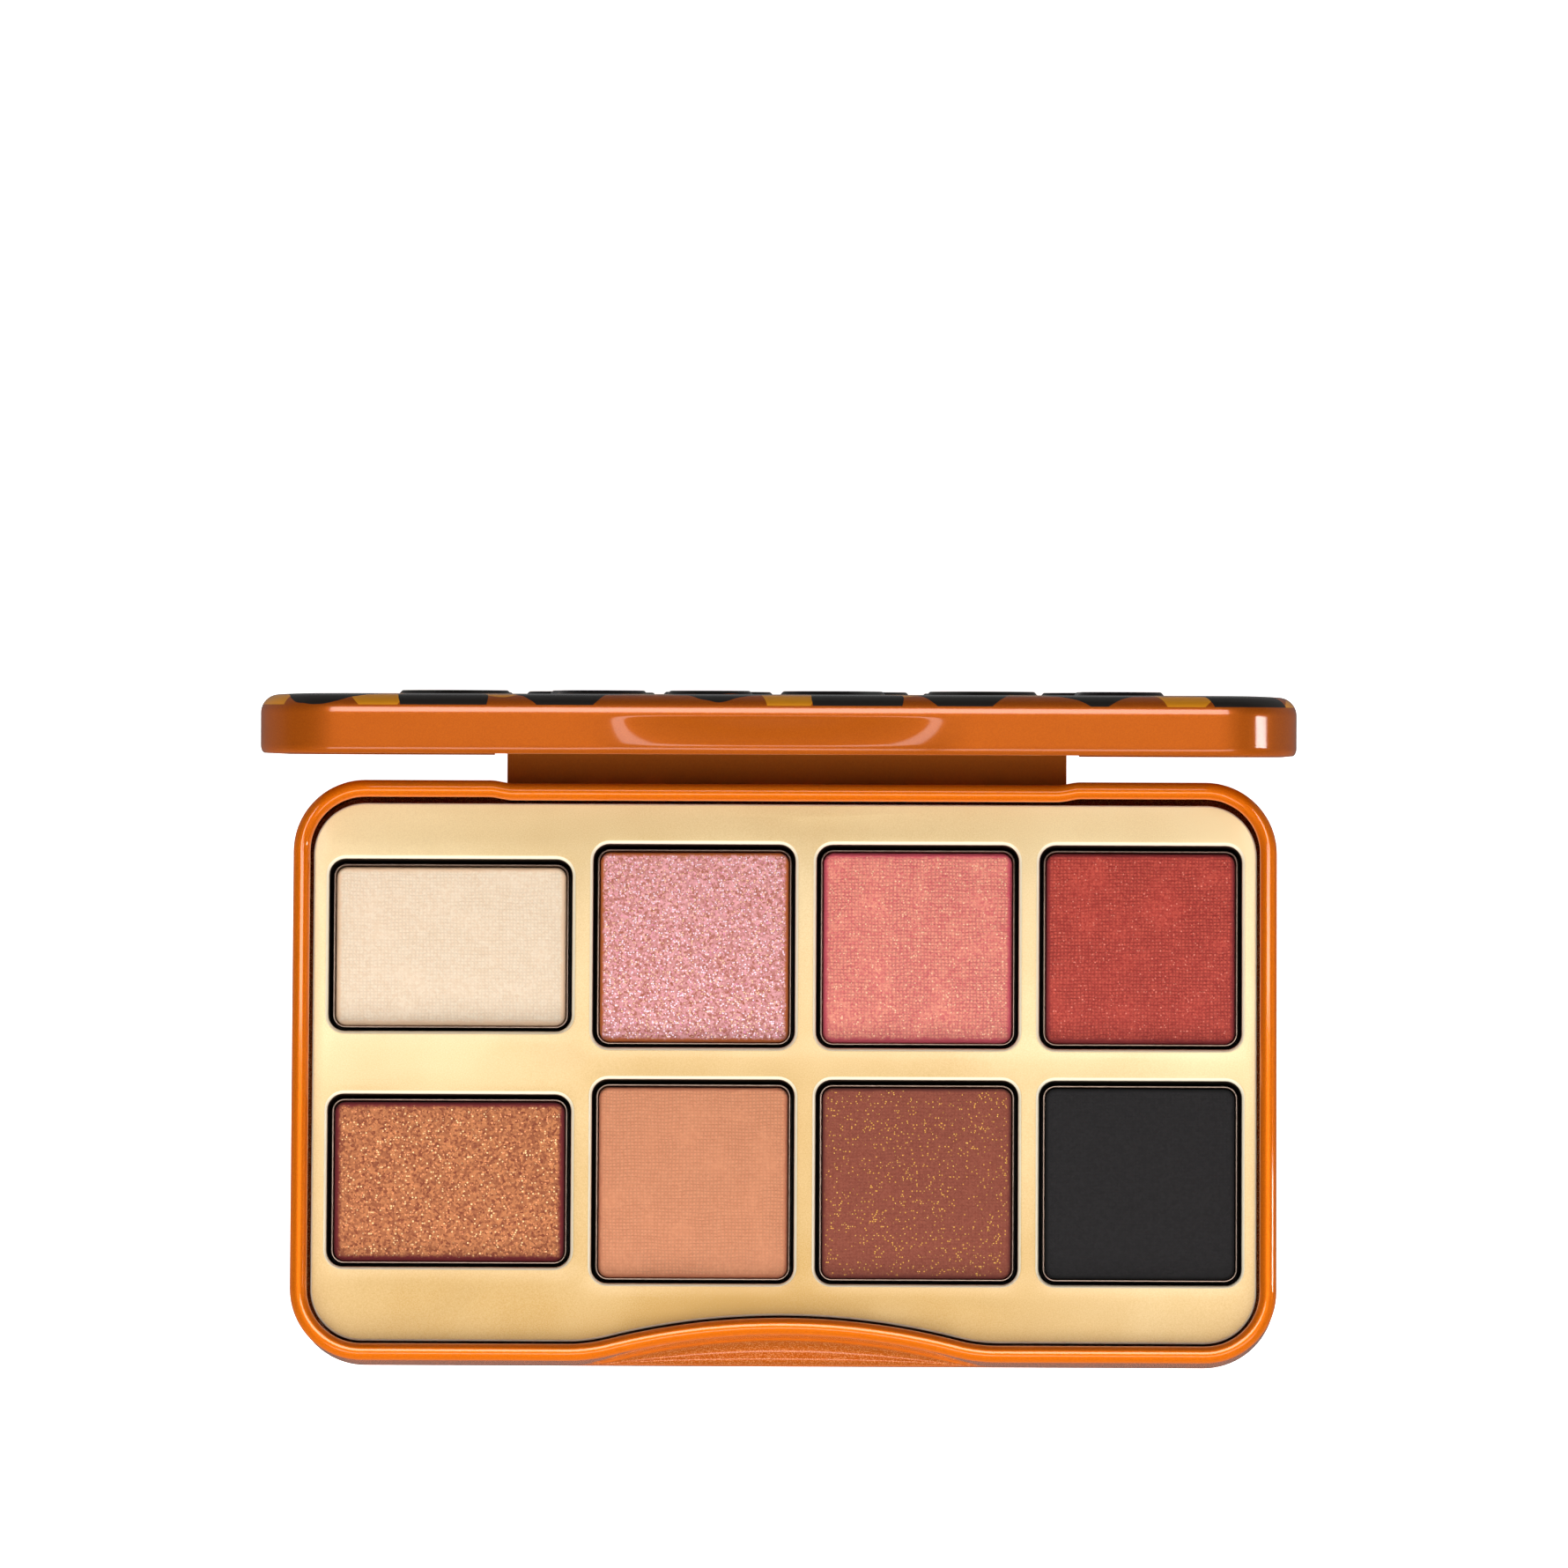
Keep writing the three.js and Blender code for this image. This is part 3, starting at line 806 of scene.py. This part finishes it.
pitch = FLAP_WIDTH / KNUCKLES
spans = [
    (
        i * pitch - FLAP_WIDTH / 2 + KNUCKLE_GAP / 2,
        (i + 1) * pitch - FLAP_WIDTH / 2 - KNUCKLE_GAP / 2,
    )
    for i in range(KNUCKLES)
]
wall_y = BASE_BACK - JOG_DEPTH
windows = Shape()
half = FLAP_WIDTH / 2 + KNUCKLE_GAP
near, far = wall_y - WINDOW_DEPTH, wall_y + PAST_WALL
windows.box((-half, near, WINDOW_FOOT), (half, far, HINGE_Z + WINDOW_RISE))
cut(base_shell, windows)
windows = Shape()
for start, end in spans[0::2]:
    windows.box(
        (start - KNUCKLE_GAP, near, HINGE_Z), (end + KNUCKLE_GAP, far, HINGE_Z + POCKET_RISE)
    )
cut(base_shell, windows)
finish_piece(base_shell, "base", [base_paint], ["base_tin"])


def roll(start, end, steps=36):
    """Arc round the hinge wire in the YZ plane, between two angles in degrees."""
    angles = [math.radians(start + (end - start) * i / steps) for i in range(steps + 1)]
    return [
        (HINGE_Y + KNUCKLE_RADIUS * math.cos(a), HINGE_Z + KNUCKLE_RADIUS * math.sin(a))
        for a in angles
    ]


def strip(shape, path, start, end):
    """Sheet along a path in the YZ plane, from one x to another."""
    points = [(x, y, z) for y, z in path for x in (start, end)]
    faces = [(2 * r, 2 * r + 1, 2 * r + 3, 2 * r + 2) for r in range(len(path) - 1)]
    shape.add(points, faces)


# Base knuckles: the wall's sheet bends out and rolls over the wire
shape = Shape()
mid_wall = wall_y - SHEET / 2
crest = HINGE_Z + KNUCKLE_RADIUS
path = [
    (mid_wall, KNUCKLE_FOOT),
    (mid_wall, crest + KNUCKLE_BEND),
    *(
        (mid_wall + KNUCKLE_BEND * (1 - math.cos(a)), crest + KNUCKLE_BEND * (1 - math.sin(a)))
        for a in quarter(5)[1:-1]
    ),
    *roll(*BASE_CURL),
]
for start, end in spans[1::2]:
    strip(shape, path, start, end)
base_knuckles = shape.build("base_knuckles")
thicken(base_knuckles, KNUCKLE_SHEET, 0)
finish_piece(base_knuckles, "base", [base_paint], ["base_tin"])

# Hinge wire
wire_low, wire_high = node_box("hinge_wire")
wire = (wire_high.z - wire_low.z) / 2
taper = wire * PIN_TAPER
ends = [(taper * (1 - math.cos(a)), wire - taper * (1 - math.sin(a))) for a in quarter(4)]
stations = [(wire_low.x + along, radius) for along, radius in ends]
stations += [(wire_high.x - along, radius) for along, radius in reversed(ends)]
around = [2 * math.pi * i / PIN_SIDES for i in range(PIN_SIDES)]
shape = Shape()
shape.loft(
    [
        [(x, HINGE_Y + radius * math.cos(a), HINGE_Z + radius * math.sin(a)) for a in around]
        for x, radius in stations
    ]
)
finish_piece(shape.build("hinge_pin"), "base", [steel], ["hinge_wire"])

# Lid, drawn closed
lid = Shell(lid_high.x, lid_low.y, LID_BACK, LID_CORNER, DENT_HALF, 0)


def lid_ring(z, inset, notch=0.0):
    return [(x, y, z) for x, y in shell_outline(lid, inset, notch)]


# The lid's edge rounds over into a slight crown
crown_slope = math.atan(2 * CROWN / CROWN_WIDTH)
round_z = LID_TOP - CROWN - LID_ROUND * math.cos(crown_slope)
turns = [(math.pi / 2 - crown_slope) * i / 14 for i in range(15)]

# The thumb dent is full depth at its foot and fades out towards a crisp upper edge
dent = []
full = math.hypot(1, DENT_EDGE) - DENT_EDGE
for i in range(21):
    t = 1 - (1 - i / 20) ** 1.6
    level = math.hypot(1 - 0.5 * t - 0.5 * t * t, DENT_EDGE) - DENT_EDGE
    dent.append((DENT_FOOT + (DENT_TOP - DENT_FOOT) * t, DENT_DEPTH * level / full))
crown = [(-CROWN * (1 - i / 5) ** 2, CROWN_WIDTH * i / 5) for i in range(1, 6)]
edge_inset = LID_ROUND * (1 - math.sin(crown_slope))


def lid_round(radius):
    return [
        lid_ring(round_z + radius * math.sin(a), LID_ROUND - radius * math.cos(a)) for a in turns
    ]


hem_outer = [
    (LID_RIM + HEM_HEIGHT * (1 - math.cos(a)), HEM_INSET * (1 - math.sin(a))) for a in quarter(8)
]
hem_inner = [
    (LID_RIM, HEM_INSET),
    (LID_RIM + 0.05, HEM_INSET + 0.04),
    (LID_RIM + 0.12, HEM_WIDTH),
    (LID_RIM + 0.36, HEM_WIDTH),
    (LID_RIM + 0.5, HEM_WIDTH - 0.08),
    (LID_RIM + 0.6, LID_SHEET + 0.04),
    (LID_RIM + 0.7, LID_SHEET),
]
shape = Shape()
inside = [
    *(
        lid_ring(LID_TOP - LID_SHEET + drop, edge_inset + across)
        for drop, across in reversed(crown)
    ),
    *reversed(lid_round(LID_ROUND - LID_SHEET)),
    *(lid_ring(z, LID_SHEET, notch) for z, notch in reversed(dent)),
    *(lid_ring(z, inset, DENT_DEPTH) for z, inset in reversed(hem_inner)),
]
outside = [
    *(lid_ring(z, inset, DENT_DEPTH) for z, inset in hem_outer),
    *(lid_ring(z, 0, notch) for z, notch in dent),
    *lid_round(LID_ROUND),
    *(lid_ring(LID_TOP + drop, edge_inset + across) for drop, across in crown),
]
shape.loft(inside, 1, True, False)
shape.loft(outside, 0, False, False)


def spot_place(column, row):
    phase = COLUMN_PHASE * column + ROW_PHASE * row
    x = (column - (SPOT_COLUMNS - 1) / 2) * SPOT_PITCH_X + DRIFT_X * math.sin(phase)
    y = (row - (SPOT_ROWS - 1) / 2) * SPOT_PITCH_Y + DRIFT_Y * math.cos(ROW_BEAT * phase)
    return x, y, phase


# Top plate: nested outlines round each spot carry its soft slope
plate = [Vector(p[:2]) for p in outside[-1]]
edges = [(i, (i + 1) % len(plate)) for i in range(len(plate))]
heights = [LID_TOP] * len(plate)
for column in range(SPOT_COLUMNS):
    for row in range(SPOT_ROWS):
        x, y, phase = spot_place(column, row)
        for ring in range(SPOT_RINGS):
            t = ring / (SPOT_RINGS - 1)
            start = len(plate)
            for i in range(SPOT_POINTS):
                a = 2 * math.pi * i / SPOT_POINTS
                radius = SPOT_RADIUS * spot_radius(math.cos(2 * a + phase), math.sin(3 * a + phase))
                radius -= SPOT_SLOPE * t
                plate.append(
                    Vector((x + SPOT_STRETCH * radius * math.cos(a), y + radius * math.sin(a)))
                )
                heights.append(LID_TOP + SPOT_RISE * smooth(t))
                edges.append((start + i, start + (i + 1) % SPOT_POINTS))
flat, _, triangles, sources, _, _ = delaunay_2d_cdt(plate, edges, [], 1, 1e-6)
shape.add([(p.x, p.y, heights[s[0]]) for p, s in zip(flat, sources)], triangles)
lid_shell = shape.build("lid_shell", opened)
relief = Shape()
reach = FLAP_WIDTH / 2 + RELIEF
relief.box(
    (-reach, LID_BACK - RELIEF_DEPTH, LID_RIM - RELIEF_HEIGHT),
    (reach, LID_BACK + PAST_WALL, LID_RIM + RELIEF_HEIGHT),
)
cut(lid_shell, relief, opened)
finish_piece(lid_shell, "lid", [lid_paint, enamel], ["lid_tin"])

# Lid flap: the back wall runs down into fingers that roll round the wire
shape = Shape()
flap_y = LID_BACK - SHEET / 2
flap_foot = HINGE_Z + FLAP_FOOT
stops = sorted({-FLAP_WIDTH / 2, FLAP_WIDTH / 2, *(x for span in spans[0::2] for x in span)})
panel = [(flap_y, LID_RIM + FLAP_HEAD), (flap_y, LID_RIM), (flap_y, flap_foot)]
for start, end in zip(stops, stops[1:]):
    strip(shape, panel, start, end)
finger = [(flap_y, flap_foot), *roll(*LID_CURL)]
for start, end in spans[0::2]:
    strip(shape, finger, start, end)
lid_flap = shape.build("lid_flap", opened)
thicken(lid_flap, FLAP_SHEET, 0)
finish_piece(lid_flap, "lid", [lid_paint, enamel], ["lid_tin"])

# The flap's inner face and the inside of its rolls are enamelled
inward = (opened.to_3x3() @ Vector((0, -1, 0))).normalized()
for polygon in lid_flap.data.polygons:
    centre = shut @ polygon.center / MM
    reach = math.hypot(centre.y - HINGE_Y, centre.z - HINGE_Z)
    faces_in = polygon.normal.dot(inward) > FLAP_FACING and centre.z > HINGE_Z
    enamelled = (faces_in and reach > FLAP_CLEAR) or reach < KNUCKLE_RADIUS
    polygon.material_index = 1 if enamelled else 0

# Mirror and what holds it
mirror_low, mirror_high = node_box("mirror", shut)


def mirror_ring(z, inset):
    outline = rectangle_outline(mirror_low, mirror_high, MIRROR_CORNER, inset, 14)
    return [(x, y, z) for x, y in outline]


shape = Shape()
shoulder = mirror_ring(mirror_low.z + MIRROR_BEVEL * 0.6, 0)
shape.loft([mirror_ring(mirror_low.z, MIRROR_BEVEL), shoulder], 0, True, False)
shape.loft([shoulder, mirror_ring(mirror_high.z, 0)], 1, False, True)
mirror = shape.build("mirror_plate", opened)
finish_piece(mirror, "lid", [mirror_glass(), glass_edge()], ["mirror"], 20)

glue = soft_glue("clear_glue", (222, 216, 200), (240, 236, 224))
tape = soft_glue("mirror_tape", (206, 200, 186), (222, 218, 206))
for name, node in frame["nodes"].items():
    if name.startswith("glue_") or name == "mirror_adhesive":
        node.data.materials.clear()
        node.data.materials.append((tape if name == "mirror_adhesive" else glue).material)

# Tray: a thin formed sheet with eight wells
places = [name[4:] for name in sorted(frame["nodes"]) if name.startswith("pan_")]
tray_back = tray_high.y + TRAY_INSET
tray = Shell(base_high.x, base_low.y, tray_back, BASE_CORNER, NOTCH_HALF, 0)


def ripple(x, y):
    """Slight unevenness of the pressed sheet."""
    return 0.05 * math.sin(x / 8.5 + 0.7) * math.cos(y / 11 + 0.4) + 0.03 * math.sin(y / 6 - x / 15)


def well_ring(place, z, inset):
    low, high = node_box("pan_" + place)
    margin = Vector((PAN_MARGIN, PAN_MARGIN, 0))
    outline = rectangle_outline(low - margin, high + margin, WELL_CORNER, inset)
    return [(x, y, z) for x, y in outline]


def tray_ring(z, inset):
    return [(x, y, z) for x, y in shell_outline(tray, TRAY_INSET + inset, NOTCH_DEPTH)]


shape = Shape()
edge_round = [
    (TRAY_TOP - TRAY_EDGE * (1 - math.cos(a)), TRAY_EDGE * (1 - math.sin(a))) for a in quarter(5)
]
rim = [tray_ring(z, inset) for z, inset in reversed(edge_round)]
shape.loft([tray_ring(TRAY_FOOT, 0), *rim], 0, False, False)
plate = [Vector(p[:2]) for p in tray_ring(0, TRAY_EDGE)]
edges = [(i, (i + 1) % len(plate)) for i in range(len(plate))]
wells = []
loop_of = {}
for place in places:
    lip = [(TRAY_TOP - LIP * (1 - math.sin(a)), -LIP * (1 - math.cos(a))) for a in quarter(7)]
    foot = [
        (WELL_FLOOR + WELL_ROUND * (1 - math.sin(a)), WELL_ROUND * (1 - math.cos(a)))
        for a in quarter(4)
    ]
    rings = [well_ring(place, z, inset) for z, inset in reversed(lip)]
    rings += [well_ring(place, z, inset) for z, inset in foot]
    shape.loft(rings, 0, False, True)
    start = len(plate)
    plate += [Vector(p[:2]) for p in rings[0]]
    count = len(rings[0])
    edges += [(start + i, start + (i + 1) % count) for i in range(count)]
    loop_of.update({start + i: place for i in range(count)})
    xs, ys = [p[0] for p in rings[0]], [p[1] for p in rings[0]]
    wells.append((min(xs), max(xs), min(ys), max(ys)))


def within(loop, x, y):
    """Whether a point lies inside a closed loop."""
    crossings = 0
    for (ax, ay, _), (bx, by, _) in zip(loop, loop[1:] + loop[:1]):
        if (ay > y) != (by > y) and x < (bx - ax) * (y - ay) / (by - ay) + ax:
            crossings += 1
    return crossings % 2 == 1


# A grid of points between the wells lets the sheet ripple
inner = tray_ring(0, TRAY_EDGE + EDGE_GAP)
for i in range(int(2 * GRID_X / GRID) + 1):
    for j in range(int(2 * GRID_Y / GRID) + 1):
        x, y = i * GRID - GRID_X, j * GRID - GRID_Y
        near_well = any(
            a - WELL_GAP < x < b + WELL_GAP and c - WELL_GAP < y < d + WELL_GAP
            for a, b, c, d in wells
        )
        if within(inner, x, y) and not near_well:
            plate.append(Vector((x, y)))
flat, _, triangles, sources, _, _ = delaunay_2d_cdt(plate, edges, [], 1, 1e-6)


def well_of(triangle):
    """Name of the well whose mouth holds all three corners, or None."""
    found = {loop_of.get(sources[i][0]) for i in triangle}
    return found.pop() if len(found) == 1 else None


sheet = [t for t in triangles if well_of(t) is None]
shape.add([(p.x, p.y, TRAY_TOP) for p in flat], sheet)
for point in shape.points:
    if point.z > TRAY_TOP - LIP - 0.01:
        point.z += ripple(point.x, point.y)
tray_sheet = shape.build("tray")
thicken(tray_sheet, TRAY_SHEET, -1)
finish_piece(tray_sheet, "base", [gold], ["tray_insert"])


def rounded_block(low, high, corner, profile):
    """Stack of rounded rectangles at the heights and insets of a profile."""
    made = Shape()
    made.loft(
        [
            [(x, y, z) for x, y in rectangle_outline(low, high, corner, inset)]
            for z, inset in profile
        ]
    )
    return made


half_sheet = PAN_SHEET / 2
for place in places:
    low, high = node_box("pan_" + place)
    rim = [
        (high.z - half_sheet + half_sheet * math.sin(a), half_sheet * (1 - math.cos(a)))
        for a in (math.pi * i / 8 for i in range(9))
    ]
    foot = [(low.z, PAN_FOOT), (low.z + PAN_CHAMFER, PAN_CHAMFER), (low.z + PAN_FOOT, 0)]
    bed = low.z + PAN_SHEET
    bowl = [(bed + PAN_FILLET, PAN_SHEET), (bed, PAN_SHEET + PAN_FILLET)]
    profile = [*foot, *rim, *bowl]
    pan = rounded_block(low, high, PAN_CORNER, profile).build("tin_pan_" + place)
    finish_piece(pan, "base", [pan_metal], ["pan_" + place])

    low, high = node_box("powder_" + place)
    profile = [(low.z, 0), (high.z - POWDER_ROUND, 0)]
    profile += [
        (high.z - POWDER_ROUND * (1 - math.sin(a)), POWDER_ROUND_IN * (1 - math.cos(a)))
        for a in quarter(5)[1:]
    ]
    cake = rounded_block(low, high, POWDER_CORNER, profile).build("pressed_" + place)
    look = pressed_powder(place, POWDERS[place])
    finish_piece(cake, "base", [look], ["powder_" + place])

# Studio: a white floor that reflections leave out
SURROUNDINGS = (0.45, 0.14), (0.6, 0.05)
FLOOR_REACH, FLOOR_DROP = 2500, 0.05
corners = (-1, -1), (1, -1), (1, 1), (-1, 1)
shape = Shape()
shape.add([(FLOOR_REACH * x, FLOOR_REACH * y, -FLOOR_DROP) for x, y in corners], [(0, 1, 2, 3)])
floor = shape.build("floor")
paper = Look("floor_paper", Roughness=0.9)
paper.set("Base Color", paper.mix(paper.noise(400), (0.9, 0.9, 0.9, 1), (0.93, 0.93, 0.93, 1)))
paper.set("Emission Color", (1, 1, 1, 1))
paper.set("Emission Strength", 1.0)
floor.data.materials.append(paper.material)
floor.visible_glossy = False

# Dim surroundings, a little lighter below
world = bpy.data.worlds.new("studio")
bpy.context.scene.world = world
world.use_nodes = True
tree = world.node_tree
direction = tree.nodes.new("ShaderNodeTexCoord")
split = tree.nodes.new("ShaderNodeSeparateXYZ")
span = tree.nodes.new("ShaderNodeMapRange")
ramp = tree.nodes.new("ShaderNodeValToRGB")
span.inputs["From Min"].default_value = -1
tree.links.new(direction.outputs["Generated"], split.inputs[0])
tree.links.new(split.outputs["Z"], span.inputs["Value"])
tree.links.new(span.outputs["Result"], ramp.inputs[0])
tree.links.new(ramp.outputs[0], tree.nodes["Background"].inputs["Color"])
for element, (height, level) in zip(ramp.color_ramp.elements, SURROUNDINGS):
    element.position = height
    element.color = (level, level, level, 1)


def softbox(name, location, target, width, length, radiance, gloss, fill):
    """Rectangular light at a point in millimetres, turned to a target.

    Gloss and fill say whether it shows in reflections and whether it lights matt surfaces.
    """
    light = bpy.data.lights.new(name, "AREA")
    light.shape = "RECTANGLE"
    light.size, light.size_y = width * MM, length * MM
    light.energy = radiance * math.pi * width * length * MM * MM
    lamp = bpy.data.objects.new(name, light)
    lamp.location = Vector(location) * MM
    lamp.rotation_mode = "QUATERNION"
    lamp.rotation_quaternion = (Vector(target) - Vector(location)).to_track_quat("-Z", "Y")
    lamp.visible_camera = False
    lamp.visible_glossy = gloss
    lamp.visible_diffuse = fill
    bpy.context.scene.collection.objects.link(lamp)


# Two overhead softboxes and a strip at the right for highlights, and a broad diffuser for fill
softbox("back_softbox", (30, 300, 900), (30, 300, 0), 640, 440, 7.0, gloss=True, fill=False)
softbox("front_softbox", (60, -420, 880), (0, 0, 10), 900, 200, 3.4, gloss=True, fill=False)
softbox("side_strip", (560, 12, 260), (50, 38, 60), 26, 170, 22.0, gloss=True, fill=False)
softbox("diffuser", (0, -700, 900), (0, 0, 0), 1800, 1400, 3.25, gloss=False, fill=True)

# Camera high above the front edge, with its long lens; clipping distances are in metres
SENSOR, LENS = 36, 296.5
CLIP_NEAR, CLIP_FAR = 0.1, 20
EYE = Vector((23.2, -113.8, 1448.5)) * MM
AIM = Vector((-0.15, 32.2, 10.95)) * MM
ROLL = math.radians(0.2)
camera = bpy.data.objects.new("camera", bpy.data.cameras.new("camera"))
bpy.context.scene.collection.objects.link(camera)
bpy.context.scene.camera = camera
camera.data.sensor_width = SENSOR
camera.data.lens = LENS
camera.data.clip_start, camera.data.clip_end = CLIP_NEAR, CLIP_FAR
camera.location = EYE
camera.rotation_mode = "QUATERNION"
back = (EYE - AIM).normalized()
right = (Vector((1, 0, 0)) - back * back.x).normalized()
facing = Matrix((right, back.cross(right), back)).transposed()
camera.rotation_quaternion = (facing @ Matrix.Rotation(ROLL, 3, "Z")).to_quaternion()

bpy.context.scene.view_settings.view_transform = "Standard"

bpy.context.view_layer.update()
